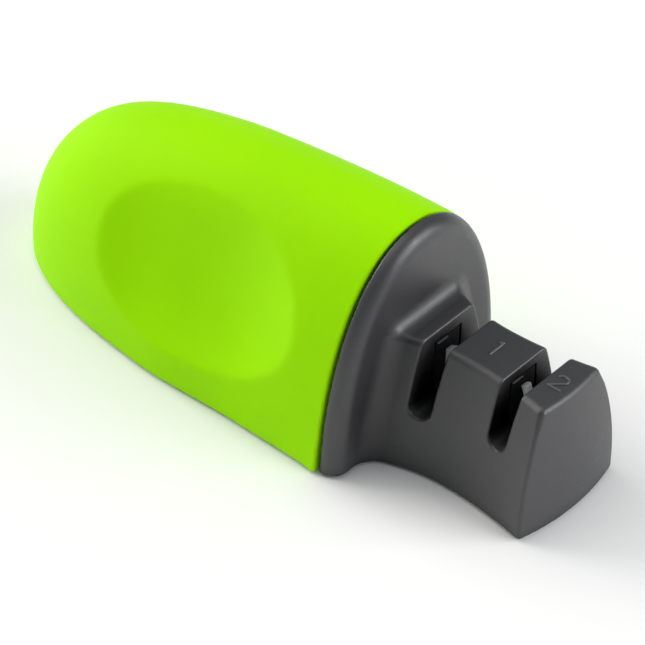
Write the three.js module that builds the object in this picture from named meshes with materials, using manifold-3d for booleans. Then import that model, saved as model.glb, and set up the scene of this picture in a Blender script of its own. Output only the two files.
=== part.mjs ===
// Hand-held pull-through knife sharpener with a coarse and a fine stage.
// Millimetres. +X runs from the tail of the handle to the front of the head, +Z is up, Z = 0 is the table under the pads.
import * as THREE from "three";
import { mergeVertices } from "three/addons/utils/BufferGeometryUtils.js";
import Module from "manifold-3d";

const wasm = await Module();
wasm.setup();

// ---------------------------------------------------------------- driving dimensions
const TAIL_X = -60; // tail tip of the handle
const FRONT_X = 60; // foremost point of the head
const SHELL_Z = 0.6; // lower edge of handle and head, above the table
const JOINT_X = 21.8; // middle of the gap between handle and collar, at the lower edge
const JOINT_GAP = 0.65; // width of that gap
const LEAN = 0.063; // forward lean of the collar, mm per mm of height

const GRIP_HALF_WIDTH = 21.3; // handle half-width at the collar
const GRIP_HEIGHT = 42.08; // handle height at the collar, above its lower edge
const GRIP_DROP = 12.7; // how much the back falls towards the tail
const GRIP_FLARE = 0.9; // extra half-width of the lip at the collar, near the lower edge
const SKIN_T = 2.2; // soft skin thickness
const CORE_T = 2.0; // rigid core thickness
const CORE_CLEAR = 0.2; // between skin and core
const SPIGOT_CLEAR = 0.4; // between core and spigot
const SPIGOT_T = 2.0;
const SPIGOT_BACK_X = 9; // rear end of the spigot inside the handle

const RECESS_X = -9.17; // thumb recess centre
const RECESS_Z = 22.4;
const RECESS_A = 23.0; // half-length
const RECESS_B = 14.75; // half-height
const RECESS_TILT = 0.11; // radians, front end up
const RECESS_DEPTH = 4.4;

const FLANGE_T = 3.7; // collar thickness at the lower edge
const FACE_LEAN = 0.046; // forward lean of the collar face
const FLANGE_HALF_WIDTH = 21.2;
const FLANGE_HEIGHT = 42.0;
const FLANGE_ROUND = 2.9; // front edge rounding
const FILLET_R = 3.0; // between collar and block

const BLOCK_H = 24.9; // block top above the lower edge
const BLOCK_NECK_X = 41; // narrowest station of the block
const BLOCK_NECK_HALF = 5.6; // half-width of its top there
const BLOCK_BULGE = 0.95; // convexity of the flanks at mid height
const FRONT_BULGE = 1.36; // and towards the front face
const FRONT_R = 43; // plan radius of the front face
const WALL = 1.8; // housing wall

const SLOT_W_TOP = 4.7; // knife slot width at the mouth
const SLOT_W_LOW = 4.2; // and above its round floor
const SLOT_LEAN = 0.06; // rearward run of the slots with depth, mm per mm
const SLOT1_X = 34.62; // coarse slot, at its mouth
const SLOT1_FLOOR = 11.55;
const SLOT2_X = 50.69; // fine slot, at its mouth
const SLOT2_FLOOR = 14.0;
const TROUGH_WALL = 1.5; // wall around each slot
const WINDOW_HALF = 3.3; // half-width of the opening for each stage insert
const WINDOW1_TOP = 23.1;
const WINDOW2_TOP = 23.45;

const HOLDER_HALF = 3.05; // stage insert half-width
const CARBIDE_T = 1.5; // plate thickness
const CARBIDE_W = 4.2; // plate width
const CARBIDE_ANGLE = 0.367; // radians from upright
const CARBIDE_V_Z = 17.2; // where the working edges cross
const CARBIDE_UP = 3.3; // plate length above the crossing
const CARBIDE_DOWN = 9.4; // and below it
const ROD_R = 0.85; // ceramic rod radius
const ROD_Y = 0.98; // rod centre from the plane between the two
const ROD_ANGLE = 0.332;
const ROD_V_Z = 17.2;
const STAGE_Y = -0.5; // plane between the two elements of a stage
const ROD_UP = 4.2;
const ROD_DOWN = 11.0;

const COVER_LOW = 0.8; // lower face of the closing plates
const COVER_TOP = 3.0;
const PAD_T = 1.6;
const SCREW_R = 1.0;
const SCREW_HEAD_R = 1.8;
const SCREW_HEAD_T = 1.2;

const ARCH_STEPS = 26;

// ---------------------------------------------------------------- solids
function solid(geometry) {
  let g = geometry.index ? geometry.toNonIndexed() : geometry.clone();
  for (const name of Object.keys(g.attributes)) if (name !== "position") g.deleteAttribute(name);
  g = mergeVertices(g, 1e-4);
  const index = Array.from(g.index.array);
  const keep = [];
  for (let i = 0; i < index.length; i += 3) {
    const [a, b, c] = [index[i], index[i + 1], index[i + 2]];
    if (a !== b && b !== c && c !== a) keep.push(a, b, c);
  }
  return new wasm.Manifold(
    new wasm.Mesh({
      numProp: 3,
      vertProperties: new Float32Array(g.attributes.position.array),
      triVerts: new Uint32Array(keep),
    }),
  );
}

function geometryOf(body) {
  const mesh = body.getMesh();
  const g = new THREE.BufferGeometry();
  const n = mesh.numProp;
  const xyz = new Float32Array((mesh.vertProperties.length / n) * 3);
  for (let i = 0, j = 0; i < mesh.vertProperties.length; i += n) {
    xyz[j++] = mesh.vertProperties[i];
    xyz[j++] = mesh.vertProperties[i + 1];
    xyz[j++] = mesh.vertProperties[i + 2];
  }
  g.setAttribute("position", new THREE.BufferAttribute(xyz, 3));
  g.setIndex(Array.from(mesh.triVerts));
  return g;
}

// A closed skin through rings of equal length, with both ends closed to their middles.
function loft(rings) {
  const n = rings[0].length;
  const xyz = [];
  const index = [];
  for (const ring of rings) for (const p of ring) xyz.push(...p);
  for (let r = 0; r + 1 < rings.length; r++)
    for (let i = 0; i < n; i++) {
      const j = (i + 1) % n;
      const [a, b, c, d] = [r * n + i, r * n + j, (r + 1) * n + j, (r + 1) * n + i];
      index.push(a, b, c, a, c, d);
    }
  for (const [r, flip] of [[0, true], [rings.length - 1, false]]) {
    const middle = [0, 0, 0];
    for (const p of rings[r]) for (let k = 0; k < 3; k++) middle[k] += p[k] / n;
    const m = xyz.length / 3;
    xyz.push(...middle);
    for (let i = 0; i < n; i++) {
      const j = (i + 1) % n;
      if (flip) index.push(m, r * n + j, r * n + i);
      else index.push(m, r * n + i, r * n + j);
    }
  }
  let volume = 0;
  const at = (i) => new THREE.Vector3(xyz[3 * i], xyz[3 * i + 1], xyz[3 * i + 2]);
  for (let i = 0; i < index.length; i += 3)
    volume += at(index[i]).dot(at(index[i + 1]).cross(at(index[i + 2])));
  if (volume < 0) for (let i = 0; i < index.length; i += 3) [index[i + 1], index[i + 2]] = [index[i + 2], index[i + 1]];
  const g = new THREE.BufferGeometry();
  g.setAttribute("position", new THREE.BufferAttribute(new Float32Array(xyz), 3));
  g.setIndex(index);
  return solid(g);
}

function box(x0, x1, y0, y1, z0, z1) {
  const g = new THREE.BoxGeometry(x1 - x0, y1 - y0, z1 - z0);
  g.translate((x0 + x1) / 2, (y0 + y1) / 2, (z0 + z1) / 2);
  return solid(g);
}

function rod(x, y, z0, z1, r, steps = 20) {
  const g = new THREE.CylinderGeometry(r, r, z1 - z0, steps);
  g.rotateX(Math.PI / 2);
  g.translate(x, y, (z0 + z1) / 2);
  return solid(g);
}

// A flat plate with the outline pts in X and Y.
function plate(pts, z0, z1) {
  const shape = new THREE.Shape(pts.map(([x, y]) => new THREE.Vector2(x, y)));
  const g = new THREE.ExtrudeGeometry(shape, { depth: z1 - z0, bevelEnabled: false });
  g.translate(0, 0, z0);
  return solid(g);
}

// A plate with the outline pts in X and Z, from y0 to y1.
function side(pts, y0, y1) {
  const shape = new THREE.Shape(pts.map(([x, z]) => new THREE.Vector2(x, z)));
  const g = new THREE.ExtrudeGeometry(shape, { depth: y1 - y0, bevelEnabled: false });
  g.rotateX(Math.PI / 2);
  g.translate(0, y1, 0);
  return solid(g);
}

function roundRect(x0, x1, y0, y1, r, steps = 5) {
  const pts = [];
  for (const [cx, cy, a0] of [[x1 - r, y1 - r, 0], [x0 + r, y1 - r, 1], [x0 + r, y0 + r, 2], [x1 - r, y0 + r, 3]])
    for (let i = 0; i <= steps; i++) {
      const a = ((a0 + i / steps) * Math.PI) / 2;
      pts.push([cx + r * Math.cos(a), cy + r * Math.sin(a)]);
    }
  return pts;
}

const smooth = (t) => {
  const u = Math.min(1, Math.max(0, t));
  return u * u * (3 - 2 * u);
};

// ---------------------------------------------------------------- handle surface
const skinFront = JOINT_X - JOINT_GAP / 2;
// Half-width and height of the dome at the share s of its length, from the collar to the tail.
function gripWidth(s, inset, up = 0) {
  const close = Math.pow(Math.max(0, 1 - Math.pow(s, 3.812)), 1 / 1.914);
  const flare = GRIP_FLARE * Math.exp(-s / 0.05) * Math.exp(-Math.max(0, up) / 5);
  const waist = -0.3 * Math.exp(-(((s - 0.27) / 0.1) ** 2)) + 0.25 * Math.exp(-(((s - 0.47) / 0.07) ** 2));
  return (GRIP_HALF_WIDTH + 0.145 * s + flare + waist - inset) * close;
}
function gripHeight(s, inset) {
  const close = Math.pow(Math.max(0, 1 - Math.pow(s, 9.413)), 1 / 1.696);
  return (GRIP_HEIGHT - 0.1 * s - GRIP_DROP * s * s - inset) * close;
}

function recessDepth(x, z) {
  const [c, n] = [Math.cos(RECESS_TILT), Math.sin(RECESS_TILT)];
  const u = ((x - RECESS_X) * c + (z - RECESS_Z) * n) / RECESS_A;
  const v = (-(x - RECESS_X) * n + (z - RECESS_Z) * c) / RECESS_B;
  const q = Math.pow(Math.pow(Math.abs(u), 2.15) + Math.pow(Math.abs(v), 2.15), 1 / 2.15);
  const e = 0.05; // softening of the rim
  const bowl = 1 - Math.min(q, 1 + e) ** 2;
  if (bowl > 2 * e) return RECESS_DEPTH * bowl;
  return bowl > -2 * e ? (RECESS_DEPTH * (bowl + 2 * e) ** 2) / (8 * e) : 0;
}

// One section of the dome at the share s, set in by inset, from the lower edge low. A negative s lies in front of the collar.
function gripRing(s, inset, tailX, low, skirt) {
  const frontX = skinFront;
  const w = gripWidth(Math.max(0, s), inset);
  const h = gripHeight(Math.max(0, s), inset);
  const ring = [];
  if (skirt !== null) ring.push([frontX + s * (tailX - frontX), -w, skirt]);
  for (let i = 0; i <= ARCH_STEPS; i++) {
    const t = (i / ARCH_STEPS) * Math.PI;
    const c = Math.cos(t);
    const n = Math.sin(t);
    const up = h * Math.pow(Math.max(0, n), 2 / 2.229);
    let y = -gripWidth(Math.max(0, s), inset, up) * Math.sign(c) * Math.pow(Math.abs(c), 2 / 2.173);
    const z = SHELL_Z + Math.max(low - SHELL_Z, up);
    const x = frontX + s * (tailX - frontX) + LEAN * up * (1 - Math.max(0, s));
    const dip = Math.min(recessDepth(x, z), Math.abs(y) * 0.5);
    y -= Math.sign(y) * dip;
    ring.push([x, y, z]);
  }
  if (skirt !== null) ring.push([frontX + s * (tailX - frontX), w, skirt]);
  return ring;
}

const GRIP_STEPS = 24;
function gripSolid(inset, ahead, low, skirt) {
  const tailX = TAIL_X + inset;
  const rings = [];
  if (ahead > 0) rings.push(gripRing(-ahead / (skinFront - tailX), inset, tailX, low, skirt));
  for (let i = 0; i <= GRIP_STEPS; i++) {
    const a = i / GRIP_STEPS;
    const s = 0.9999 * (0.45 * a + 0.55 * Math.sin((a * Math.PI) / 2));
    rings.push(gripRing(s, inset, tailX, low, skirt));
  }
  return loft(rings);
}

const skinInner = SKIN_T;
const coreOuter = SKIN_T + CORE_CLEAR;
const coreInner = coreOuter + CORE_T;
const spigotOuter = coreInner + SPIGOT_CLEAR;
const spigotInner = spigotOuter + SPIGOT_T;

// Everything in front of the leaning plane that starts at x.
function aheadOf(x) {
  return side([[x - 6 * LEAN, -6], [x + 60, -6], [x + 60, 60], [x + 60 * LEAN, 60]], -40, 40);
}

const gripSkin = gripSolid(0, 0, SHELL_Z, null).subtract(gripSolid(skinInner, 5, SHELL_Z, -4));

const REAR_SCREWS = [[-38, -6.5], [-38, 6.5]];
const NECK_SCREWS = [[14, -9], [14, 9]];
let handleCore = gripSolid(coreOuter, 3, SHELL_Z, -2)
  .subtract(gripSolid(coreInner, 5, SHELL_Z, -4))
  .subtract(aheadOf(skinFront - 0.3))
  .subtract(box(-80, 80, -40, 40, -5, 1.0));
for (const [x, y] of REAR_SCREWS) {
  const post = rod(x, y, COVER_TOP + 0.2, 40, 2.8, 16).intersect(gripSolid(coreOuter + 0.5, 0, SHELL_Z, -2));
  handleCore = handleCore.add(post).subtract(rod(x, y, 0, 13, SCREW_R + 0.1, 12));
}

function gripOutline(inset, x0, x1, steps = 30) {
  const tailX = TAIL_X + inset;
  const right = [];
  for (let i = 0; i <= steps; i++) {
    const a = Math.sin((i / steps) * Math.PI * 0.5);
    const x = x1 + (x0 - x1) * a;
    const s = (skinFront - x) / (skinFront - tailX);
    right.push([x, gripWidth(Math.min(0.999, Math.max(0, s)), inset)]);
  }
  return [...right, ...right.slice().reverse().map(([x, y]) => [x, -y])];
}

const HANDLE_PAD = [-31, 5, -8.5, 8.5];
let handleBase = plate(gripOutline(coreInner + 0.35, TAIL_X + coreInner + 1.2, skinFront - 1.0), COVER_LOW, COVER_TOP);
handleBase = handleBase.subtract(plate(roundRect(HANDLE_PAD[0] - 0.15, HANDLE_PAD[1] + 0.15, HANDLE_PAD[2] - 0.15, HANDLE_PAD[3] + 0.15, 3.15), 0, PAD_T + 0.1));
for (const [x, y] of [...REAR_SCREWS, ...NECK_SCREWS])
  handleBase = handleBase
    .subtract(rod(x, y, 0, COVER_LOW + SCREW_HEAD_T + 0.3, SCREW_HEAD_R + 0.2))
    .subtract(rod(x, y, 0, 6, SCREW_R + 0.2, 12));

const handlePad = plate(roundRect(...HANDLE_PAD, 3), 0, PAD_T);

// ---------------------------------------------------------------- head surface
function blockHalf(x, u) {
  const d = x - BLOCK_NECK_X;
  const top = BLOCK_NECK_HALF + (d < 0 ? 0.0145 : 0.0066) * d * d;
  const draft = 4.4 + 0.55 * smooth((x - 32) / 26);
  return top + draft * (1 - u) + (BLOCK_BULGE + (FRONT_BULGE - BLOCK_BULGE) * smooth((x - 46) / 12)) * 4 * u * (1 - u);
}
function frontX(y, u) {
  return FRONT_X - 0.18 - 0.95 * u + 0.55 * 4 * u * (1 - u) - (FRONT_R - Math.sqrt(FRONT_R * FRONT_R - y * y));
}

const BLOCK_LEVELS = [0, 0.12, 0.3, 0.5, 0.7, 0.88, 1];
const BLOCK_TOP_STEPS = [0.66, 0.33, 0, -0.33, -0.66];
// One section of the block at the plan station x, from the rear. grow makes it larger all round, as at the fillet.
function blockRing(x, grow, lean, wallIn, topZ, lowZ, front) {
  const ring = [];
  const h = topZ - SHELL_Z;
  const put = (u, share, sign) => {
    const z = u === 0 ? lowZ : SHELL_Z + u * h;
    const v = (SHELL_Z + u * h - SHELL_Z) / BLOCK_H;
    let y = (blockHalf(x, Math.min(1, v)) + grow - wallIn) * share * sign;
    let px = x + lean * Math.max(0, z - SHELL_Z);
    if (front !== null) {
      for (let k = 0; k < 4; k++) {
        px = frontX(y, Math.min(1, v)) - front;
        y = (blockHalf(px, Math.min(1, v)) + grow - wallIn) * share * sign;
      }
    }
    ring.push([px, y, z]);
  };
  for (const u of BLOCK_LEVELS) put(u, 1, -1);
  for (const k of BLOCK_TOP_STEPS) put(1, Math.abs(k), k > 0 ? -1 : 1);
  for (const u of BLOCK_LEVELS.slice().reverse()) put(u, 1, 1);
  for (const k of BLOCK_TOP_STEPS) put(0, Math.abs(k), k > 0 ? 1 : -1);
  return ring;
}

const flangeFront = JOINT_X + JOINT_GAP / 2 + FLANGE_T;
const topZ = SHELL_Z + BLOCK_H;

const blockRings = [];
for (const [dx, share] of [[-2, 1], [0, 1], [0.16, 0.69], [0.6, 0.4], [1.3, 0.18], [2.1, 0.05], [3, 0]]) {
  const fade = 1 - smooth((dx - 0.2) / 5);
  blockRings.push(blockRing(flangeFront + dx, FILLET_R * share, FACE_LEAN * fade, 0, topZ + FILLET_R * share, SHELL_Z, null));
}
for (const x of [30.5, 33, 36, 39, 42, 45, 48, 51, 53.5, 55.5]) blockRings.push(blockRing(x, 0, 0, 0, topZ, SHELL_Z, null));
// The rim of the front face and smaller rings inside it, which carry its curve. back sets the face back.
function frontRings(rim, back) {
  const rings = [rim];
  const mid = SHELL_Z + BLOCK_H * 0.48;
  for (const share of [0.72, 0.42, 0.15])
    rings.push(
      rim.map(([, y, z]) => {
        const zz = mid + (z - mid) * share;
        return [frontX(y * share, Math.max(0, (zz - SHELL_Z) / BLOCK_H)) - back, y * share, zz];
      }),
    );
  return rings;
}
blockRings.push(...frontRings(blockRing(57, 0, 0, 0, topZ, SHELL_Z, 0), 0));
const block = loft(blockRings);

function archRing(x, w, h, low, lean) {
  const ring = [];
  for (let i = 0; i <= ARCH_STEPS + 4; i++) {
    const t = (i / (ARCH_STEPS + 4)) * Math.PI;
    const c = Math.cos(t);
    const up = h * Math.pow(Math.max(0, Math.sin(t)), 2 / 2.229);
    ring.push([x + lean * up, -w * Math.sign(c) * Math.pow(Math.abs(c), 2 / 2.173), low + up]);
  }
  return ring;
}
const flangeBack = JOINT_X + JOINT_GAP / 2;
const flangeRings = [];
for (const [dx, inset] of [
  [0, 0.3],
  [0.3, 0],
  [FLANGE_T - FLANGE_ROUND, 0],
  [FLANGE_T - FLANGE_ROUND * 0.5, FLANGE_ROUND * 0.134],
  [FLANGE_T - FLANGE_ROUND * 0.134, FLANGE_ROUND * 0.5],
  [FLANGE_T, FLANGE_ROUND],
])
  flangeRings.push(archRing(flangeBack + dx, FLANGE_HALF_WIDTH - inset, FLANGE_HEIGHT - inset, SHELL_Z, LEAN + ((FACE_LEAN - LEAN) * dx) / FLANGE_T));
const flange = loft(flangeRings);

// Spigot: a closed arch tube that stands in the handle core.
function spigotSolid(inset, x0, x1, low) {
  const tailX = TAIL_X + inset;
  const rings = [];
  for (let i = 0; i <= 7; i++) {
    const x = x0 + ((x1 - x0) * i) / 7;
    const s = (skinFront - x) / (skinFront - tailX);
    const w = gripWidth(Math.max(0, s), inset + GRIP_FLARE);
    const h = gripHeight(Math.max(0, s), inset);
    const ring = [];
    for (let k = 0; k <= ARCH_STEPS; k++) {
      const t = (k / ARCH_STEPS) * Math.PI;
      const c = Math.cos(t);
      let y = -w * Math.sign(c) * Math.pow(Math.abs(c), 2 / 2.173);
      const z = SHELL_Z + h * Math.pow(Math.max(0, Math.sin(t)), 2 / 2.229);
      const dip = Math.min(recessDepth(x, z), Math.abs(y) * 0.5);
      y -= Math.sign(y) * dip;
      ring.push([x, y, Math.max(low, z)]);
    }
    rings.push(ring);
  }
  return loft(rings);
}
const SPIGOT_LOW = 3.4;
let head = spigotSolid(spigotOuter, SPIGOT_BACK_X, flangeBack + 1.2, SPIGOT_LOW).add(flange).add(block);

// Chambers open from below, around the two slots.
const cavityRings = [];
for (const x of [27.6, 30, 33, 36, 39, 42, 45, 48, 51, 53.5]) cavityRings.push(blockRing(x, 0, 0, WALL, topZ - WALL, -4, null));
cavityRings.push(...frontRings(blockRing(55, 0, 0, WALL, topZ - WALL, -4, 2.0), 2.0));
let cavity = loft(cavityRings);
const slots = [[SLOT1_X, SLOT1_FLOOR, WINDOW1_TOP], [SLOT2_X, SLOT2_FLOOR, WINDOW2_TOP]];
const reach = SLOT_W_TOP / 2 + TROUGH_WALL;
for (const [x, floor] of slots) cavity = cavity.subtract(box(x - reach, x + reach, -30, 30, floor - TROUGH_WALL, 40));
head = head.subtract(cavity).subtract(spigotSolid(spigotInner, SPIGOT_BACK_X - 3, flangeFront - 1.8, SPIGOT_LOW + SPIGOT_T));

// Posts for the cover screws and the neck screws.
const COVER_SCREWS = [[SLOT1_X, -6.1], [SLOT1_X, 6.1], [SLOT2_X, -6.6], [SLOT2_X, 6.6]];
for (const [x, y] of COVER_SCREWS) {
  const floor = x === SLOT1_X ? SLOT1_FLOOR : SLOT2_FLOOR;
  head = head.add(rod(x, y, COVER_TOP + 0.2, floor - TROUGH_WALL + 0.5, 2.2, 16));
}
for (const [x, y] of NECK_SCREWS) head = head.add(rod(x, y, SPIGOT_LOW + 0.5, 12, 2.5, 16));

function slotOutline(x, floor) {
  const r = SLOT_W_LOW / 2;
  const pts = [[x - SLOT_W_TOP / 2 - 0.3, topZ + 8], [x - SLOT_W_TOP / 2, topZ]];
  for (let i = 0; i <= 10; i++) {
    const a = Math.PI + (i / 10) * Math.PI;
    pts.push([x + r * Math.cos(a), floor + r + r * Math.sin(a)]);
  }
  pts.push([x + SLOT_W_TOP / 2, topZ], [x + SLOT_W_TOP / 2 + 0.3, topZ + 8]);
  return pts.map(([px, z]) => [px + SLOT_LEAN * (z - topZ), z]);
}
for (const [x, floor, top] of slots) {
  head = head
    .subtract(side(slotOutline(x, floor), -30, 30))
    .subtract(box(x - reach - 0.3, x + reach + 0.3, -WINDOW_HALF, WINDOW_HALF, -2, top));
}
for (const [x, y] of [...COVER_SCREWS, ...NECK_SCREWS]) head = head.subtract(rod(x, y, 0, 10, SCREW_R + 0.1, 12));

// ---------------------------------------------------------------- base cover of the head
function coverOutline(inset) {
  const left = [];
  for (const x of [27.9, 29, 30.5, 33, 36, 39, 42, 45, 48, 51, 53.5, 55]) left.push([x, -(blockHalf(x, 0.05) - WALL - inset)]);
  const nose = [];
  const y0 = blockHalf(56, 0.05) - WALL - inset;
  for (let i = 0; i <= 8; i++) {
    const y = -y0 + (2 * y0 * i) / 8;
    nose.push([frontX(y, 0) - 2.1 - inset, y]);
  }
  return [...left, ...nose, ...left.slice().reverse().map(([x, y]) => [x, -y])];
}
const FRONT_PAD = [38.6, 47, -7.2, 7.2];
let cover = plate(coverOutline(0.25), COVER_LOW, COVER_TOP);
cover = cover.subtract(plate(roundRect(FRONT_PAD[0] - 0.15, FRONT_PAD[1] + 0.15, FRONT_PAD[2] - 0.15, FRONT_PAD[3] + 0.15, 2.15), 0, PAD_T + 0.1));
for (const [x, y] of COVER_SCREWS)
  cover = cover
    .subtract(rod(x, y, 0, COVER_LOW + SCREW_HEAD_T + 0.3, SCREW_HEAD_R + 0.2))
    .subtract(rod(x, y, 0, 6, SCREW_R + 0.2, 12));
const frontPad = plate(roundRect(...FRONT_PAD, 2), 0, PAD_T);

// ---------------------------------------------------------------- stage 1, crossed carbide plates
const HOLDER_LOW = COVER_TOP + 0.15;
function leaning(cx, cz, angle, sign, along0, along1, out0, out1) {
  // Corners of a strip that leans to the rear for sign -1. along runs up it, out runs away from its working edge.
  const d = [sign * Math.sin(angle), Math.cos(angle)];
  const n = [sign * Math.cos(angle), -Math.sin(angle)];
  const at = (a, o) => [cx + d[0] * a + n[0] * o, cz + d[1] * a + n[1] * o];
  const pts = [at(along0, out0), at(along0, out1), at(along1, out1), at(along1, out0)];
  return sign < 0 ? pts.reverse() : pts;
}
const CLAMP_Z = 10.0;
function acrossRod(x, z, y0, y1, r, steps = 14) {
  const g = new THREE.CylinderGeometry(r, r, y1 - y0, steps);
  g.translate(x, (y0 + y1) / 2, z);
  return solid(g);
}
let stage1 = box(28.6, 40.9, -HOLDER_HALF, HOLDER_HALF, HOLDER_LOW, WINDOW1_TOP - 0.1).subtract(
  side(slotOutline(SLOT1_X, SLOT1_FLOOR + 0.5), -10, 10),
);
const carbide = {};
for (const [name, sign, y0, y1] of [
  ["rear", -1, STAGE_Y + 0.3, STAGE_Y + 0.3 + CARBIDE_T],
  ["front", 1, STAGE_Y - 0.3 - CARBIDE_T, STAGE_Y - 0.3],
]) {
  stage1 = stage1.subtract(
    side(leaning(SLOT1_X, CARBIDE_V_Z, CARBIDE_ANGLE, sign, -CARBIDE_DOWN - 0.15, CARBIDE_UP + 0.15, -0.12, CARBIDE_W + 0.15), y0 - 0.1, y1 + 0.1),
  );
  carbide[name] = side(leaning(SLOT1_X, CARBIDE_V_Z, CARBIDE_ANGLE, sign, -CARBIDE_DOWN, CARBIDE_UP, 0, CARBIDE_W), y0, y1).subtract(
    acrossRod(SLOT1_X, CLAMP_Z, -8, 8, SCREW_R + 0.1),
  );
}
stage1 = stage1.subtract(acrossRod(SLOT1_X, CLAMP_Z, -8, 8, SCREW_R + 0.1));

// ---------------------------------------------------------------- stage 2, crossed ceramic rods
let stage2 = box(45.4, 56.2, -HOLDER_HALF, HOLDER_HALF, HOLDER_LOW, WINDOW2_TOP - 0.1).subtract(
  side(slotOutline(SLOT2_X, SLOT2_FLOOR + 0.5), -10, 10),
);
function leaningRod(sign, y, r, down, up) {
  const d = [sign * Math.sin(ROD_ANGLE), Math.cos(ROD_ANGLE)];
  const n = [sign * Math.cos(ROD_ANGLE), -Math.sin(ROD_ANGLE)];
  const mid = (up - down) / 2;
  const g = new THREE.CylinderGeometry(r, r, up + down, 20);
  g.rotateX(Math.PI / 2);
  g.rotateY(sign * ROD_ANGLE);
  g.translate(SLOT2_X + n[0] * ROD_R + d[0] * mid, y, ROD_V_Z + n[1] * ROD_R + d[1] * mid);
  return solid(g);
}
const ceramic = {
  rear: leaningRod(-1, STAGE_Y + ROD_Y, ROD_R, ROD_DOWN, ROD_UP),
  front: leaningRod(1, STAGE_Y - ROD_Y, ROD_R, ROD_DOWN, ROD_UP),
};
stage2 = stage2
  .subtract(leaningRod(-1, STAGE_Y + ROD_Y, ROD_R + 0.12, ROD_DOWN + 0.15, ROD_UP + 0.2))
  .subtract(leaningRod(1, STAGE_Y - ROD_Y, ROD_R + 0.12, ROD_DOWN + 0.15, ROD_UP + 0.2));

// ---------------------------------------------------------------- screws
function screw(headR, headT, r, length, steps = 16) {
  const g = new THREE.LatheGeometry(
    [
      [0, 0],
      [headR * 0.72, 0],
      [headR, headT * 0.45],
      [headR, headT],
      [r, headT],
      [r, headT + length - r],
      [0, headT + length],
    ].map(([x, y]) => new THREE.Vector2(x, y)),
    steps,
  );
  g.rotateX(Math.PI / 2);
  return g;
}
function uprightScrew(x, y, length) {
  const g = screw(SCREW_HEAD_R, SCREW_HEAD_T, SCREW_R, length);
  g.translate(x, y, COVER_LOW + 0.25);
  return solid(g);
}
const clampGeometry = screw(1.6, 0.75, SCREW_R, 5.2, 14);
clampGeometry.rotateX(-Math.PI / 2);
clampGeometry.translate(SLOT1_X, -HOLDER_HALF - 0.05, CLAMP_Z);
stage1 = stage1.subtract(acrossRod(SLOT1_X, CLAMP_Z, -8, -HOLDER_HALF + 0.8, 1.75, 16));

// ---------------------------------------------------------------- assembly
const LOOKS = {
  skin: [0x97e600, 0.62, 0],
  grey: [0x4a4a4e, 0.5, 0],
  core: [0x5a5a5e, 0.6, 0],
  insert: [0x26272a, 0.55, 0],
  carbide: [0x8c8f94, 0.35, 1],
  ceramic: [0xe9e7df, 0.55, 0],
  steel: [0xb4b6b8, 0.35, 1],
  pad: [0x1d1d1f, 0.85, 0],
};
const group = new THREE.Group();
group.name = "knife_sharpener";
function put(name, body, look) {
  const [color, roughness, metalness] = LOOKS[look];
  const mesh = new THREE.Mesh(geometryOf(body), new THREE.MeshStandardMaterial({ color, roughness, metalness }));
  mesh.name = name;
  mesh.material.name = look;
  group.add(mesh);
}
put("grip_skin", gripSkin, "skin");
put("handle_core", handleCore, "core");
put("handle_base", handleBase, "grey");
put("handle_pad", handlePad, "pad");
put("head_housing", head, "grey");
put("base_cover", cover, "grey");
put("front_pad", frontPad, "pad");
put("stage1_holder", stage1, "insert");
put("carbide_plate_rear", carbide.rear, "carbide");
put("carbide_plate_front", carbide.front, "carbide");
put("carbide_clamp_screw", solid(clampGeometry), "steel");
put("stage2_holder", stage2, "insert");
put("ceramic_rod_rear", ceramic.rear, "ceramic");
put("ceramic_rod_front", ceramic.front, "ceramic");
COVER_SCREWS.forEach(([x, y], i) => put(`cover_screw_${i + 1}`, uprightScrew(x, y, 7), "steel"));
NECK_SCREWS.forEach(([x, y], i) => put(`neck_screw_${i + 1}`, uprightScrew(x, y, 7), "steel"));
REAR_SCREWS.forEach(([x, y], i) => put(`handle_screw_${i + 1}`, uprightScrew(x, y, 9), "steel"));

export default group;
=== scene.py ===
# Hand-held pull-through knife sharpener: soft lime-green palm handle, charcoal head with two knife slots.
# Metres in the scene. The shapes below are worked out in millimetres in the part's own frame.
import math

import bmesh
import bpy
import numpy as np
from mathutils import Matrix, Vector


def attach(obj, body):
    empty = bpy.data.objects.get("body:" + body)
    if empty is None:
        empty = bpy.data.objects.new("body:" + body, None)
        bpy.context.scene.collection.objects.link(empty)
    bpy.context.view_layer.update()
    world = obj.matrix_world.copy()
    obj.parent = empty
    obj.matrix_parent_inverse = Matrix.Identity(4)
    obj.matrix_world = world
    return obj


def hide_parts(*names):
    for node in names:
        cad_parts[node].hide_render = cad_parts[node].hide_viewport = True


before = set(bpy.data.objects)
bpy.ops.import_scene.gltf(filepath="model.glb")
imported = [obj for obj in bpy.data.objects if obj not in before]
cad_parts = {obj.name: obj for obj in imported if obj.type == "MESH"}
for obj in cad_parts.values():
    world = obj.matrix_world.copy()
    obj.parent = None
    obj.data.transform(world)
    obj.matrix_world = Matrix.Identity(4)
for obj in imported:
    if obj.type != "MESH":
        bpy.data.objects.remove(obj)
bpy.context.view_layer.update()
MM = 0.001

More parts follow.
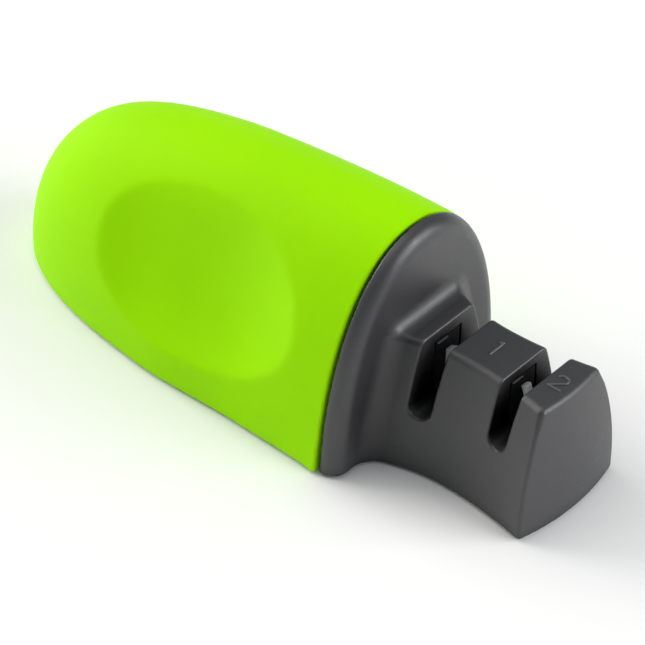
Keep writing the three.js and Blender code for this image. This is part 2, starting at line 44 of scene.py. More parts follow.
# ------------------------------------------------------------------ dimensions, mm
TAIL_X, FRONT_X, SHELL_Z = -60.0, 60.0, 0.6
JOINT_X, JOINT_GAP, LEAN = 21.8, 0.65, 0.063
GRIP_HALF, GRIP_H, GRIP_DROP, GRIP_FLARE = 21.3, 42.08, 12.7, 0.9
SKIN_T = 2.2
RECESS_X, RECESS_Z, RECESS_A, RECESS_B, RECESS_TILT, RECESS_DEPTH = -9.17, 22.4, 23.0, 14.75, 0.11, 4.4
FLANGE_T, FLANGE_HALF, FLANGE_H, FLANGE_ROUND, FILLET_R, FACE_LEAN = 3.7, 21.2, 42.0, 2.9, 3.0, 0.046
BLOCK_H, NECK_X, NECK_HALF, BULGE, FRONT_R, WALL = 24.9, 41.0, 5.6, 0.95, 43.0, 1.8
TOP_Z = SHELL_Z + BLOCK_H
SLOTS = ((34.62, 11.55, 23.1, 6.1), (50.69, 14.0, 23.45, 6.6))  # x, floor, window top, screw y
SLOT_TOP, SLOT_LOW, SLOT_LEAN, TROUGH = 4.7, 4.2, 0.06, 1.5
WINDOW_HALF = 3.3
COVER_LOW, COVER_TOP = 0.8, 3.0
SKIN_FRONT = JOINT_X - JOINT_GAP / 2
FLANGE_BACK = JOINT_X + JOINT_GAP / 2
FLANGE_FRONT = FLANGE_BACK + FLANGE_T
NECK_SCREWS = ((14.0, -9.0), (14.0, 9.0))


# ------------------------------------------------------------------ distance fields
def smooth(t):
    t = np.clip(t, 0.0, 1.0)
    return t * t * (3 - 2 * t)


def meet(a, b, r):
    """Where both hold, with the edge rounded to radius r."""
    return np.minimum(np.maximum(a, b), -r) + np.hypot(np.maximum(a + r, 0), np.maximum(b + r, 0))


def join(a, b, r):
    """Either one, with a fillet of radius r."""
    return np.maximum(np.minimum(a, b), r) - np.hypot(np.maximum(r - a, 0), np.maximum(r - b, 0))


def even(field, x, y, z, h=0.02):
    """A field scaled to read in millimetres near its surface."""
    f = field(x, y, z)
    gx = field(x + h, y, z) - field(x - h, y, z)
    gy = field(x, y + h, z) - field(x, y - h, z)
    gz = field(x, y, z + h) - field(x, y, z - h)
    g = np.sqrt(gx * gx + gy * gy + gz * gz) / (2 * h)
    return np.clip(f / np.maximum(g, 1e-4), -8, 8)


def recess(x, z):
    c, n = math.cos(RECESS_TILT), math.sin(RECESS_TILT)
    u = ((x - RECESS_X) * c + (z - RECESS_Z) * n) / RECESS_A
    v = (-(x - RECESS_X) * n + (z - RECESS_Z) * c) / RECESS_B
    q = (np.abs(u) ** 2.15 + np.abs(v) ** 2.15) ** (1 / 2.15)
    e = 0.05
    bowl = 1 - np.minimum(q, 1 + e) ** 2
    return RECESS_DEPTH * np.where(bowl > 2 * e, bowl, np.where(bowl > -2 * e, (bowl + 2 * e) ** 2 / (8 * e), 0.0))


def dome(inset):
    """Field of the handle's dome, set in by inset."""

    def field(x, y, z):
        tail = TAIL_X + inset
        up = z - SHELL_Z
        s = (SKIN_FRONT + LEAN * up - x) / (SKIN_FRONT - tail + LEAN * up)
        s = np.clip(s, 0.0, 0.99999)
        flare = GRIP_FLARE * np.exp(-s / 0.05) * np.exp(-np.maximum(up, 0) / 5.0)
        waist = -0.3 * np.exp(-(((s - 0.27) / 0.1) ** 2)) + 0.25 * np.exp(-(((s - 0.47) / 0.07) ** 2))
        w = (GRIP_HALF + 0.145 * s + flare + waist - inset) * (1 - s**3.812) ** (1 / 1.914)
        h = (GRIP_H - 0.1 * s - GRIP_DROP * s * s - inset) * (1 - s**9.413) ** (1 / 1.696)
        side = np.abs(y) + np.minimum(recess(x, z), np.abs(y))
        q = (side / w) ** 2.173 + (np.maximum(up, 0) / h) ** 2.229
        return q ** (1 / 2.2) - 1

    return field


def grip_field(x, y, z):
    outer = even(dome(0.0), x, y, z)
    outer = meet(outer, SHELL_Z - z, 0.5)
    outer = meet(outer, x - (SKIN_FRONT + LEAN * (z - SHELL_Z)), 0.4)
    inner = np.maximum(even(dome(SKIN_T), x, y, z), TAIL_X + SKIN_T + 0.45 - x)
    return meet(outer, -inner, 0.4)


def half_width(x, u):
    d = x - NECK_X
    top = NECK_HALF + np.where(d < 0, 0.0145, 0.0066) * d * d
    return top + (4.4 + 0.55 * smooth((x - 32) / 26)) * (1 - u) + (BULGE + (1.36 - BULGE) * smooth((x - 46) / 12)) * 4 * u * (1 - u)


def front_x(y, u):
    y = np.clip(y, -30, 30)
    return FRONT_X - 0.18 - 0.95 * u + 0.55 * 4 * u * (1 - u) - (FRONT_R - np.sqrt(FRONT_R * FRONT_R - y * y))


def arch(w, h):
    def field(x, y, z):
        up = np.maximum(z - SHELL_Z, 0)
        return ((np.abs(y) / w) ** 2.173 + (up / h) ** 2.229) ** (1 / 2.2) - 1

    return field


def head_field(x, y, z):
    up = z - SHELL_Z
    u = np.clip(up / BLOCK_H, 0, 1.02)
    side = (np.abs(y) - half_width(np.clip(x, 25.0, 61.0), u)) * 0.975
    front = (x - front_x(y, u)) * 0.97
    block = meet(meet(side, z - TOP_Z, 1.0), front, 0.65 + 0.45 * smooth((u - 0.8) / 0.15))
    block = np.maximum(block, 24.0 - x)
    lean_x = x - LEAN * up
    flange = meet(even(arch(FLANGE_HALF, FLANGE_H), x, y, z), x - FACE_LEAN * up - FLANGE_FRONT, FLANGE_ROUND)
    flange = meet(flange, FLANGE_BACK - lean_x, 0.25)
    body = join(block, flange, FILLET_R)
    body = np.maximum(body, FLANGE_BACK - lean_x)
    # spigot inside the handle
    dip = recess(x, z)

    def tube(w, h, low, back):
        q = even(arch(w, h), x, np.abs(y) + np.minimum(dip, np.abs(y)), z)
        return np.maximum(np.maximum(q, low - z), np.maximum(back - x, x - 23.2))

    body = np.minimum(body, tube(15.6, 37.0, 3.4, 9.0))
    hollow = even(arch(13.6, 35.0), x, np.abs(y) + np.minimum(dip, np.abs(y)), z)
    hollow = np.maximum(np.maximum(hollow, 5.4 - z), x - (FLANGE_FRONT - 1.8))
    body = np.maximum(body, -hollow)
    body = meet(body, SHELL_Z - z, 0.3)
    # chambers open from below, around the slots
    reach = SLOT_TOP / 2 + TROUGH
    hole = np.maximum(np.maximum(side + WALL, z - (TOP_Z - WALL)), np.maximum(front + 2.0, 27.6 - x))
    for sx, floor, _, _ in SLOTS:
        hole = np.maximum(hole, -np.maximum(np.abs(x - sx) - reach, floor - TROUGH - z))
    body = meet(body, -hole, 0.25)
    for sx, floor, _, sy in SLOTS:
        post = np.hypot(x - sx, np.abs(y) - sy) - 2.2
        body = np.minimum(body, np.maximum(np.maximum(post, COVER_TOP + 0.2 - z), z - (floor - TROUGH + 0.5)))
    for sx, sy in NECK_SCREWS[1:]:
        post = np.hypot(x - sx, np.abs(y) - sy) - 2.5
        body = np.minimum(body, np.maximum(np.maximum(post, 3.9 - z), z - 12.0))
        body = np.maximum(body, -np.maximum(np.hypot(x - sx, np.abs(y) - sy) - 1.1, z - 10))
    for sx, floor, top, sy in SLOTS:
        low = floor + SLOT_LOW / 2
        wide = SLOT_LOW / 2 + (SLOT_TOP - SLOT_LOW) / 2 * np.clip((z - low) / (TOP_Z - low), 0, 1)
        across = x - sx - SLOT_LEAN * (z - TOP_Z)
        cut = np.where(z > low, np.abs(across) - wide, np.hypot(across, z - low) - SLOT_LOW / 2)
        body = meet(body, -cut, 0.4)
        window = np.maximum(np.maximum(np.abs(y) - WINDOW_HALF, z - top), np.abs(x - sx) - reach - 0.3)
        body = meet(body, -window, 0.18)
        body = np.maximum(body, -np.maximum(np.hypot(x - sx, np.abs(y) - sy) - 1.1, z - 10))
    return body


def stroke(x, y, points):
    """Distance in the plane from a run of straight strokes."""
    d = np.full(np.shape(x), 1e3)
    for (ax, ay), (bx, by) in zip(points[:-1], points[1:]):
        ux, uy = bx - ax, by - ay
        s = np.clip(((x - ax) * ux + (y - ay) * uy) / (ux * ux + uy * uy), 0, 1)
        d = np.minimum(d, np.hypot(x - ax - s * ux, y - ay - s * uy))
    return d


def screw_field(head_r, head_t, shank_r, length, cross):
    """Pan-head screw, head down at z = 0, with a cross recess and a rolled thread."""

    def field(x, y, z):
        r = np.hypot(x, y)
        crown = r - head_r + np.maximum(0, 0.45 * head_t - z) * 0.9
        head = meet(meet(crown, z - head_t, 0.12), -z, 0.22)
        turn = z / 0.75 - np.arctan2(y, x) / (2 * math.pi)
        ridge = np.abs((turn % 1.0) - 0.5) * 2
        tip = np.clip((head_t + length - z) / 1.4, 0.05, 1)
        shank = np.maximum(np.maximum(r - shank_r * tip * (0.76 + 0.24 * ridge), z - head_t - length), head_t * 0.5 - z) * 0.7
        body = join(head, shank, 0.12)
        wing = np.minimum(np.maximum(np.abs(x) - 0.24, np.abs(y) - cross + 0.6 * z), np.maximum(np.abs(y) - 0.24, np.abs(x) - cross + 0.6 * z))
        return meet(body, -np.maximum(wing, z - 0.75 * head_t), 0.07)

    return field


def numeral_field(strokes, at, half):
    def field(x, y, z):
        d = np.minimum.reduce([stroke(x - at[0], y - at[1], s) for s in strokes]) - half
        return meet(meet(d, z - (TOP_Z + 0.24), 0.18), TOP_Z - 0.2 - z, 0.03)

    return field


# ------------------------------------------------------------------ surface of a field
def lay(*runs):
    """Grid lines along one axis from (start, end, step) runs."""
    out = []
    for a, b, step in runs:
        n = max(1, int(round((b - a) / step)))
        out.extend(np.linspace(a, b, n, endpoint=False))
    out.append(runs[-1][1])
    return np.array(out)


def surface(field, xs, ys, zs, pull=2):
    """Closed quads on the zero level of field, with one point in each crossed cell, pulled onto the level."""
    f = np.empty((len(xs), len(ys), len(zs)), np.float32)
    yy, zz = np.meshgrid(ys, zs, indexing="ij")
    for i in range(0, len(xs), 24):
        part = xs[i : i + 24]
        f[i : i + 24] = field(part[:, None, None] + 0 * yy, yy[None] + 0 * part[:, None, None], zz[None] + 0 * part[:, None, None])
    inside = f < 0
    nx, ny, nz = (n - 1 for n in f.shape)
    corners = [inside[i : nx + i, j : ny + j, k : nz + k] for i in (0, 1) for j in (0, 1) for k in (0, 1)]
    count = sum(c.astype(np.int8) for c in corners)
    mixed = (count > 0) & (count < 8)
    ids = np.full(mixed.shape, -1, np.int64)
    cells = np.argwhere(mixed)
    ids[mixed] = np.arange(len(cells))
    total = np.zeros((len(cells), 3))
    hits = np.zeros(len(cells))
    ci, cj, ck = cells.T
    axes = (xs, ys, zs)
    for axis in range(3):
        others = [a for a in range(3) if a != axis]
        for p in (0, 1):
            for q in (0, 1):
                a = [ci, cj, ck]
                a[others[0]] = a[others[0]] + p
                a[others[1]] = a[others[1]] + q
                b = list(a)
                b[axis] = b[axis] + 1
                fa, fb = f[tuple(a)].astype(float), f[tuple(b)].astype(float)
                cross = (fa < 0) != (fb < 0)
                t = np.where(cross, fa / np.where(cross, fa - fb, 1.0), 0.0)
                point = np.stack([axes[k][a[k]] for k in range(3)], 1)
                step = axes[axis][b[axis]] - axes[axis][a[axis]]
                point[:, axis] += t * step
                total[cross] += point[cross]
                hits += cross
    v = total / hits[:, None]
    lo = np.stack([axes[k][cells[:, k]] for k in range(3)], 1)
    hi = np.stack([axes[k][cells[:, k] + 1] for k in range(3)], 1)
    margin = 0.02 * (hi - lo)

    def slope(v, h=0.03):
        g = np.empty_like(v)
        for k in range(3):
            e = np.zeros(3)
            e[k] = h
            g[:, k] = (field(*(v + e).T) - field(*(v - e).T)) / (2 * h)
        return g

    for _ in range(pull):
        g = slope(v)
        d = field(*v.T)
        v = v - (np.clip(d, -0.2, 0.2) / np.maximum((g * g).sum(1), 0.2))[:, None] * g
        v = np.clip(v, lo + margin, hi - margin)
    n = slope(v)
    n /= np.maximum(np.linalg.norm(n, axis=1), 1e-9)[:, None]
    quads = []
    for axis in range(3):
        o1, o2 = [(1, 2), (2, 0), (0, 1)][axis]
        a = np.take(inside, range(0, inside.shape[axis] - 1), axis)
        b = np.take(inside, range(1, inside.shape[axis]), axis)
        edges = np.argwhere(a != b)
        keep = (edges[:, o1] > 0) & (edges[:, o2] > 0) & (edges[:, o1] < f.shape[o1] - 1) & (edges[:, o2] < f.shape[o2] - 1)
        edges = edges[keep]
        ring = []
        for p, q in ((1, 1), (0, 1), (0, 0), (1, 0)):
            c = edges.copy()
            c[:, o1] -= p
            c[:, o2] -= q
            ring.append(ids[tuple(c.T)])
        ring = np.stack(ring, 1)
        flip = ~a[tuple(edges.T)]
        ring[flip] = ring[flip][:, ::-1]
        quads.append(ring)
    return v, np.concatenate(quads), n


def mesh_object(name, v, faces, normals=None):
    mesh = bpy.data.meshes.new(name)
    mesh.vertices.add(len(v))
    mesh.vertices.foreach_set("co", (np.asarray(v, np.float32) * MM).ravel())
    n = faces.shape[1]
    mesh.loops.add(faces.size)
    mesh.loops.foreach_set("vertex_index", faces.astype(np.int32).ravel())
    mesh.polygons.add(len(faces))
    mesh.polygons.foreach_set("loop_start", np.arange(0, faces.size, n, dtype=np.int32))
    mesh.update(calc_edges=True)
    mesh.validate()
    mesh.polygons.foreach_set("use_smooth", np.ones(len(mesh.polygons), bool))
    if normals is not None:
        mesh.normals_split_custom_set_from_vertices([tuple(x) for x in normals])
    o = bpy.data.objects.new(name, mesh)
    bpy.context.scene.collection.objects.link(o)
    return o


# ------------------------------------------------------------------ materials
def shader(name):
    m = bpy.data.materials.new(name)
    m.use_nodes = True
    t = m.node_tree
    p = t.nodes["Principled BSDF"]
    return m, t, p


def node(t, kind, inputs=None, **props):
    n = t.nodes.new(kind)
    for k, v in props.items():
        setattr(n, k, v)
    for k, v in (inputs or {}).items():
        if isinstance(v, bpy.types.NodeSocket):
            t.links.new(v, n.inputs[k])
        else:
            n.inputs[k].default_value = v
    return n


def noise(t, where, scale, detail=4.0, rough=0.5, distort=0.0):
    return node(t, "ShaderNodeTexNoise", {"Vector": where, "Scale": scale, "Detail": detail, "Roughness": rough, "Distortion": distort}).outputs["Fac"]


def remap(t, value, a, b, c, d):
    return node(t, "ShaderNodeMapRange", {"Value": value, "From Min": a, "From Max": b, "To Min": c, "To Max": d}).outputs["Result"]


def mix(t, fac, a, b, mode="MIX"):
    n = node(t, "ShaderNodeMix", data_type="RGBA", blend_type=mode)
    for k, v in ((0, fac), (6, a), (7, b)):
        if isinstance(v, bpy.types.NodeSocket):
            t.links.new(v, n.inputs[k])
        else:
            n.inputs[k].default_value = v
    return n.outputs[2]


def bump(t, height, strength, distance, normal=None):
    n = node(t, "ShaderNodeBump", {"Strength": strength, "Distance": distance, "Height": height})
    if normal is not None:
        t.links.new(normal, n.inputs["Normal"])
    return n.outputs["Normal"]


def place(t):
    return node(t, "ShaderNodeTexCoord").outputs["Object"]


def edges(t, low, high):
    g = node(t, "ShaderNodeNewGeometry")
    return remap(t, g.outputs["Pointiness"], low, high, 0.0, 1.0)


def hollows(t, reach, open_at, shut_at, alone=True):
    """0 in the open, rising to 1 deep in slots and corners. alone leaves out the pieces round about."""
    n = node(t, "ShaderNodeAmbientOcclusion", {"Distance": reach}, samples=8, only_local=alone)
    return remap(t, n.outputs["AO"], open_at, shut_at, 0.0, 1.0)


def moulded(name, colour, rough, grain=0.00005, lighter=1.6, spec=0.5, grain_scale=5200.0, painted_shade=0.0):
    """Moulded plastic with a fine spark-eroded grain, slight flow marks and rubbed edges. With the last argument set,
    the colour is also darkened as painted shade in slots, in corners and on sideways-facing areas near other
    surfaces.
    """
    m, t, p = shader(name)
    at = place(t)
    cloud = noise(t, at, 55.0, 5.0, 0.6)
    fine = noise(t, at, grain_scale, 2.0, 0.6)
    mid = noise(t, at, 1400.0, 3.0, 0.55)
    worn = edges(t, 0.53, 0.6)
    base = mix(t, remap(t, cloud, 0.3, 0.7, 0.0, 1.0), [c * 0.93 for c in colour] + [1], [c * 1.07 for c in colour] + [1])
    base = mix(t, remap(t, fine, 0.35, 0.65, 0.0, 0.10), base, [c * 1.7 for c in colour] + [1])
    base = mix(t, node(t, "ShaderNodeMath", {0: worn, 1: 0.45}, operation="MULTIPLY").outputs[0], base, [c * lighter for c in colour] + [1])
    # painted shade: from ambient occlusion the base colour is darkened on sideways-facing surfaces near other parts
    # and the floor, in corners that do not face up, and deep in the slots
    if painted_shade:
        facing = node(t, "ShaderNodeSeparateXYZ", {0: node(t, "ShaderNodeNewGeometry").outputs["Normal"]}).outputs
        flank = remap(t, node(t, "ShaderNodeMath", {0: facing["Y"]}, operation="ABSOLUTE").outputs[0], 0.35, 0.9, 0.0, 1.0)
        low = node(t, "ShaderNodeMath", {0: hollows(t, 0.034, 0.93, 0.66), 1: flank}, operation="MULTIPLY").outputs[0]
        round_about = node(t, "ShaderNodeMath", {0: hollows(t, 0.03, 0.86, 0.3), 1: remap(t, facing["Z"], 0.2, 0.6, 1.0, 0.0)}, operation="MULTIPLY").outputs[0]
        corner = node(t, "ShaderNodeMath", {0: low, 1: round_about}, operation="MAXIMUM").outputs[0]
        deep = hollows(t, 0.007, 0.62, 0.36, False)
        base = mix(t, corner, base, [c * (1 - 0.9 * painted_shade) for c in colour] + [1])
        base = mix(t, deep, base, [c * (1 - painted_shade) for c in colour] + [1])
    t.links.new(base, p.inputs["Base Color"])
    r = remap(t, cloud, 0.3, 0.7, rough - 0.035, rough + 0.045)
    r = node(t, "ShaderNodeMath", {0: r, 1: remap(t, mid, 0.3, 0.7, -0.03, 0.03)}, operation="ADD").outputs[0]
    r = node(t, "ShaderNodeMath", {0: r, 1: remap(t, worn, 0.0, 1.0, 0.0, 0.07)}, operation="SUBTRACT").outputs[0]
    t.links.new(r, p.inputs["Roughness"])
    p.inputs["Specular IOR Level"].default_value = spec
    # the same painted shade masks also lower the specular level in slots and corners
    if painted_shade:
        gloss = node(t, "ShaderNodeMath", {0: remap(t, deep, 0.0, 1.0, spec, 0.08), 1: remap(t, corner, 0.0, 1.0, 1.0, 0.25)}, operation="MULTIPLY").outputs[0]
        t.links.new(gloss, p.inputs["Specular IOR Level"])
    n = bump(t, mid, 0.35, grain * 0.7)
    t.links.new(bump(t, fine, 0.55, grain, n), p.inputs["Normal"])
    return m


def soft_green():
    """Soft-touch lime skin: matt, very fine grain, faint cloudiness, a little light under the surface."""
    m, t, p = shader("soft_grip")
    at = place(t)
    cloud = noise(t, at, 38.0, 4.0, 0.55)
    speck = noise(t, at, 6200.0, 2.0, 0.6)
    mid = noise(t, at, 1500.0, 3.0, 0.6)
    base = mix(t, remap(t, cloud, 0.3, 0.7, 0.0, 1.0), [0.300, 0.745, 0.0, 1], [0.325, 0.785, 0.0, 1])
    base = mix(t, remap(t, speck, 0.4, 0.7, 0.0, 0.09), base, [0.24, 0.62, 0.0, 1])
    worn = edges(t, 0.53, 0.6)
    base = mix(t, node(t, "ShaderNodeMath", {0: worn, 1: 0.3}, operation="MULTIPLY").outputs[0], base, [0.38, 0.84, 0.0, 1])
    t.links.new(base, p.inputs["Base Color"])
    r = remap(t, cloud, 0.3, 0.7, 0.55, 0.66)
    r = node(t, "ShaderNodeMath", {0: r, 1: remap(t, mid, 0.3, 0.7, -0.04, 0.04)}, operation="ADD").outputs[0]
    t.links.new(r, p.inputs["Roughness"])
    p.inputs["Specular IOR Level"].default_value = 0.14
    p.inputs["Specular Tint"].default_value = (1.0, 0.9, 0.0, 1)
    p.inputs["Subsurface Weight"].default_value = 0.1
    p.inputs["Subsurface Radius"].default_value = (0.6, 1.0, 0.1)
    p.inputs["Subsurface Scale"].default_value = 0.0012
    n = bump(t, mid, 0.3, 0.00003)
    t.links.new(bump(t, speck, 0.5, 0.00004, n), p.inputs["Normal"])
    return m


def ground_metal(name, colour, rough, lines=(1.0, 1.0, 14.0), scale=900.0, metal=1.0):
    """Metal with fine one-way grinding or turning lines and light stains."""
    m, t, p = shader(name)
    at = place(t)
    run = node(t, "ShaderNodeMapping", {"Vector": at, "Scale": lines}).outputs["Vector"]
    streak = noise(t, run, scale, 5.0, 0.65)
    stain = noise(t, at, 420.0, 4.0, 0.6)
    base = mix(t, remap(t, streak, 0.3, 0.7, 0.0, 1.0), [c * 0.8 for c in colour] + [1], [min(1, c * 1.15) for c in colour] + [1])
    base = mix(t, remap(t, stain, 0.5, 0.75, 0.0, 0.35), base, [c * 0.6 for c in colour] + [1])
    t.links.new(base, p.inputs["Base Color"])
    t.links.new(remap(t, streak, 0.3, 0.7, rough - 0.08, rough + 0.1), p.inputs["Roughness"])
    p.inputs["Metallic"].default_value = metal
    t.links.new(bump(t, streak, 0.4, 0.00002), p.inputs["Normal"])
    return m


def fired_ceramic():
    m, t, p = shader("ceramic")
    at = place(t)
    grit = noise(t, at, 4200.0, 4.0, 0.65)
    cloud = noise(t, at, 260.0, 4.0, 0.55)
    rub = node(t, "ShaderNodeMapping", {"Vector": at, "Scale": (1.0, 1.0, 5.0)}).outputs["Vector"]
    mark = noise(t, rub, 500.0, 5.0, 0.7)
    base = mix(t, remap(t, cloud, 0.3, 0.7, 0.0, 1.0), [0.86, 0.86, 0.85, 1], [0.95, 0.95, 0.94, 1])
    base = mix(t, remap(t, mark, 0.56, 0.72, 0.0, 0.45), base, [0.30, 0.30, 0.30, 1])
    t.links.new(base, p.inputs["Base Color"])
    t.links.new(remap(t, grit, 0.3, 0.7, 0.45, 0.65), p.inputs["Roughness"])
    t.links.new(bump(t, grit, 0.6, 0.00004), p.inputs["Normal"])
    return m


def pad_rubber():
    m, t, p = shader("pad_rubber")
    at = place(t)
    grain = noise(t, at, 2600.0, 3.0, 0.6)
    dust = noise(t, at, 130.0, 5.0, 0.6)
    cells = node(t, "ShaderNodeTexVoronoi", {"Vector": at, "Scale": 900.0}).outputs["Distance"]
    base = mix(t, remap(t, dust, 0.45, 0.75, 0.0, 0.5), [0.016, 0.016, 0.017, 1], [0.05, 0.048, 0.045, 1])
    base = mix(t, remap(t, grain, 0.4, 0.7, 0.0, 0.25), base, [0.03, 0.03, 0.03, 1])
    t.links.new(base, p.inputs["Base Color"])
    t.links.new(remap(t, grain, 0.3, 0.7, 0.72, 0.9), p.inputs["Roughness"])
    p.inputs["Specular IOR Level"].default_value = 0.3
    n = bump(t, cells, 0.5, 0.00008)
    t.links.new(bump(t, grain, 0.5, 0.00005, n), p.inputs["Normal"])
    return m


GREEN = soft_green()
# housing plastic; its last argument paints shade into the slots, the corners and the flanks beside the collar
GREY = moulded("housing_plastic", (0.0345, 0.034, 0.0372), 0.39, grain=0.00007, spec=0.66, painted_shade=0.95)
# a lighter copy of the housing plastic: painted highlight for the raised numerals and the slot lips
HIGHLIT_GREY = moulded("housing_plastic_painted_highlight", (0.075, 0.0745, 0.078), 0.3, spec=0.66)
CORE = moulded("core_plastic", (0.10, 0.10, 0.105), 0.5)
# stage insert plastic: partly its own dark colour, partly painted shade, made near black so the slot interiors read
# as deep shade
INSERT_SHADE_BLACK = moulded("insert_plastic", (0.006, 0.006, 0.007), 0.7, lighter=2.0, spec=0.1)
RUBBER = pad_rubber()
CARBIDE = ground_metal("carbide", (0.86, 0.86, 0.88), 0.36, metal=0.25)
STEEL = ground_metal("screw_steel", (0.56, 0.56, 0.55), 0.3, lines=(1.0, 1.0, 1.0), scale=1500.0)
CERAMIC = fired_ceramic()


def dress(o, material):
    o.data.materials.clear()
    o.data.materials.append(material)


# ------------------------------------------------------------------ handle skin and head
v, q, n = surface(grip_field, lay((-60.6, -52, 0.45), (-52, 18, 0.6), (18, 25.4, 0.33)), lay((-22.8, 22.8, 0.58)), lay((0.0, 3.0, 0.34), (3.0, 43.6, 0.58)))
grip = mesh_object("grip", v, q, n)
dress(grip, GREEN)
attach(grip, "root")
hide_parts("grip_skin")

v, q, n = surface(head_field, lay((8.4, 21.6, 0.9), (21.6, 60.6, 0.355)), lay((-21.5, -13.5, 0.47), (-13.5, 13.5, 0.355), (13.5, 21.5, 0.47)), lay((0.0, 27.0, 0.355), (27.0, 43.4, 0.47)))
head = mesh_object("head", v, q, n)
dress(head, GREY)
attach(head, "root")
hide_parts("head_housing")
print("faces", len(grip.data.polygons), len(head.data.polygons))

# raised stage numerals on the two lands, in a lighter copy of the housing plastic as a painted highlight on the
# strokes
bow = [(1.08 * math.cos(math.radians(a)), 0.82 + 0.93 * math.sin(math.radians(a))) for a in range(160, -40, -12)]
TWO = [bow + [(-1.25, -1.6), (1.2, -1.6)]]
ONE = [[(-0.5, 1.45), (0.0, 1.8), (0.0, -1.8)]]
for name, strokes, at in (("numeral_1", ONE, (42.55, 0.0)), ("numeral_2", TWO, (55.72, 0.05))):
    v, q, n = surface(numeral_field(strokes, at, 0.24), lay((at[0] - 1.6, at[0] + 1.6, 0.065)), lay((at[1] - 2.1, at[1] + 2.1, 0.065)), lay((TOP_Z - 0.27, TOP_Z + 0.31, 0.05)))
    piece = mesh_object(name, v, q, n)
    dress(piece, HIGHLIT_GREY)
    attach(piece, "root")

# lips on the near half of the stage inserts, on the rear wall of each slot, in the same lighter plastic as a painted
# highlight along each window's edge
for name, (sx, _, _, _), y0, y1, z0 in (("insert_lip_1", SLOTS[0], -2.8, -0.2, 22.8), ("insert_lip_2", SLOTS[1], -2.95, -0.4, 23.2)):
    wall = sx + SLOT_LEAN * (z0 - TOP_Z) - SLOT_TOP / 2 + 0.1

    def lip(x, y, z):
        return meet(meet(np.abs(x - wall) - 0.27, np.abs(z - z0) - 0.1, 0.07), np.abs(y - (y0 + y1) / 2) - (y1 - y0) / 2, 0.1)

    v, q, n = surface(lip, lay((wall - 0.4, wall + 0.4, 0.05)), lay((y0 - 0.1, y1 + 0.1, 0.08)), lay((z0 - 0.26, z0 + 0.26, 0.05)))
    piece = mesh_object(name, v, q, n)
    dress(piece, HIGHLIT_GREY)
    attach(piece, "root")

# screws: one mesh for the upright ones, one for the clamp screw of stage 1
fine = surface(screw_field(1.8, 1.2, 1.0, 7.0, 1.25), lay((-1.95, 1.95, 0.1)), lay((-1.95, 1.95, 0.1)), lay((-0.15, 1.4, 0.08), (1.4, 8.4, 0.12)))
longer = surface(screw_field(1.8, 1.2, 1.0, 9.0, 1.25), lay((-1.95, 1.95, 0.1)), lay((-1.95, 1.95, 0.1)), lay((-0.15, 1.4, 0.08), (1.4, 10.4, 0.12)))
clamp = surface(screw_field(1.6, 0.75, 1.0, 5.2, 1.1), lay((-1.75, 1.75, 0.1)), lay((-1.75, 1.75, 0.1)), lay((-0.15, 0.9, 0.07), (0.9, 6.2, 0.12)))
upright = [("cover_screw_%d" % (i + 1), fine, x, y) for i, (x, y) in enumerate((x, s * y) for x, _, _, y in SLOTS for s in (-1, 1))]
upright += [("neck_screw_%d" % (i + 1), fine, x, y) for i, (x, y) in enumerate(NECK_SCREWS)]
upright += [("handle_screw_%d" % (i + 1), longer, -38.0, y) for i, y in enumerate((-6.5, 6.5))]
for i, (name, (v, q, n), x, y) in enumerate(upright):
    turn = np.array(Matrix.Rotation(0.7 + 1.9 * i, 3, "Z"))
    piece = mesh_object(name + "_fine", v @ turn.T + (x, y, COVER_LOW + 0.25), q, n @ turn.T)
    dress(piece, STEEL)
    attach(piece, "root")
    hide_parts(name)
lay_down = np.array(Matrix.Rotation(-math.pi / 2, 3, "X"))
v, q, n = clamp
piece = mesh_object("carbide_clamp_screw_fine", v @ lay_down.T + (SLOTS[0][0], -3.1, 10.0), q, n @ lay_down.T)
dress(piece, STEEL)
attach(piece, "root")
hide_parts("carbide_clamp_screw")

# ------------------------------------------------------------------ carried-over pieces
LOOK = {
    "handle_core": (CORE, 0.25),
    "handle_base": (GREY, 0.3),
    "base_cover": (GREY, 0.3),
    "handle_pad": (RUBBER, 0.35),
    "front_pad": (RUBBER, 0.35),
    "stage1_holder": (INSERT_SHADE_BLACK, 0.15),
    "stage2_holder": (INSERT_SHADE_BLACK, 0.15),
    "carbide_plate_rear": (CARBIDE, 0.08),
    "carbide_plate_front": (CARBIDE, 0.08),
    "ceramic_rod_rear": (CERAMIC, 0.2),
    "ceramic_rod_front": (CERAMIC, 0.2),
}
for name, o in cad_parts.items():
    look = LOOK.get(name, (STEEL, 0.08))
    if name in ("grip_skin", "head_housing"):
        look = (GREEN if name == "grip_skin" else GREY, 0)
    o.data.materials.clear()
    o.data.materials.append(look[0])
    if look[1]:
        b = o.modifiers.new("edge", "BEVEL")
        b.width = look[1] * MM
        b.segments = 2
        b.limit_method = "ANGLE"
        b.angle_limit = math.radians(40)
        b.harden_normals = False

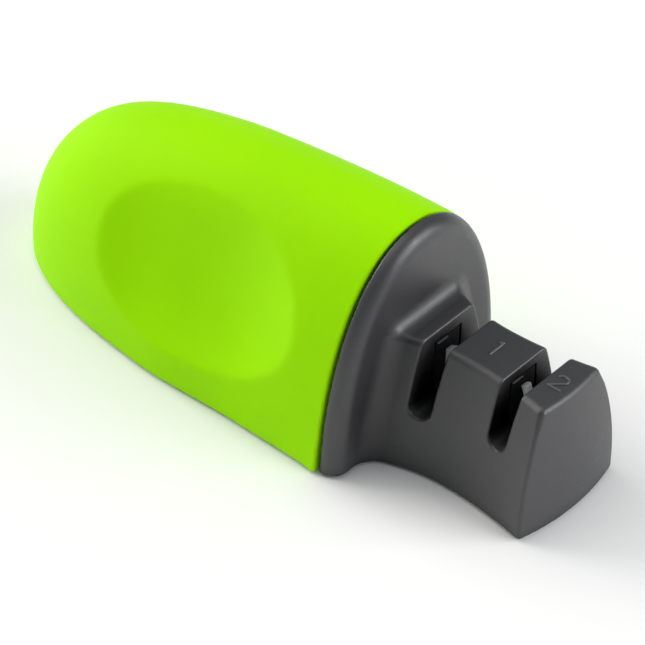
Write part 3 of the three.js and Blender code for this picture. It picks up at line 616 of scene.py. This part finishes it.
# ------------------------------------------------------------------ floor, light, camera
mesh = bpy.data.meshes.new("floor")
bm = bmesh.new()
bmesh.ops.create_grid(bm, x_segments=1, y_segments=1, size=3.0)
bm.to_mesh(mesh)
bm.free()
floor = bpy.data.objects.new("floor", mesh)
bpy.context.scene.collection.objects.link(floor)
m, t, p = shader("floor")
p.inputs["Base Color"].default_value = (0.9, 0.9, 0.9, 1)
p.inputs["Roughness"].default_value = 0.7
mesh.materials.append(m)

world = bpy.data.worlds.new("studio")
bpy.context.scene.world = world
world.use_nodes = True
world.node_tree.nodes["Background"].inputs["Color"].default_value = (0.9, 0.97, 1.0, 1)
world.node_tree.nodes["Background"].inputs["Strength"].default_value = 0.26


def lamp(name, where, at, size, watts, tint=(1.0, 1.0, 1.0)):
    d = bpy.data.lights.new(name, "AREA")
    d.color = tint
    d.shape = "RECTANGLE"
    d.size, d.size_y = size
    d.energy = watts
    o = bpy.data.objects.new(name, d)
    o.location = where
    o.rotation_euler = (Vector(at) - Vector(where)).to_track_quat("-Z", "Y").to_euler()
    bpy.context.scene.collection.objects.link(o)
    return o


lamp("key", (-0.95, -0.2, 0.52), (0.0, 0.0, 0.02), (0.8, 0.7), 9.7, (1.0, 0.97, 0.91))
lamp("top", (-0.25, -0.1, 1.05), (0.0, 0.0, 0.02), (0.9, 0.9), 3.6, (1.0, 0.98, 0.95))
lamp("right", (0.75, 0.3, 0.4), (0.03, 0.0, 0.02), (0.7, 0.5), 6.8)
lamp("left", (-0.75, -0.75, 0.35), (0.0, 0.0, 0.02), (0.7, 0.5), 1.0)

cam = bpy.data.cameras.new("camera")
cam.sensor_width = 36.0
cam.lens = 251.16
cam.clip_start, cam.clip_end = 0.05, 20.0
o = bpy.data.objects.new("camera", cam)
right, up, back = Vector((0.75610, 0.65446, 0.0)), Vector((-0.42134, 0.48678, 0.76520)), Vector((0.50079, -0.57856, 0.64380))
m = Matrix((right, up, back)).transposed().to_4x4()
m.translation = Vector((0.38985, -0.44509, 0.50497 + 0.0006))
o.matrix_world = m
bpy.context.scene.collection.objects.link(o)
bpy.context.scene.camera = o
bpy.context.scene.view_settings.view_transform = "Standard"
bpy.context.scene.view_settings.look = "None"
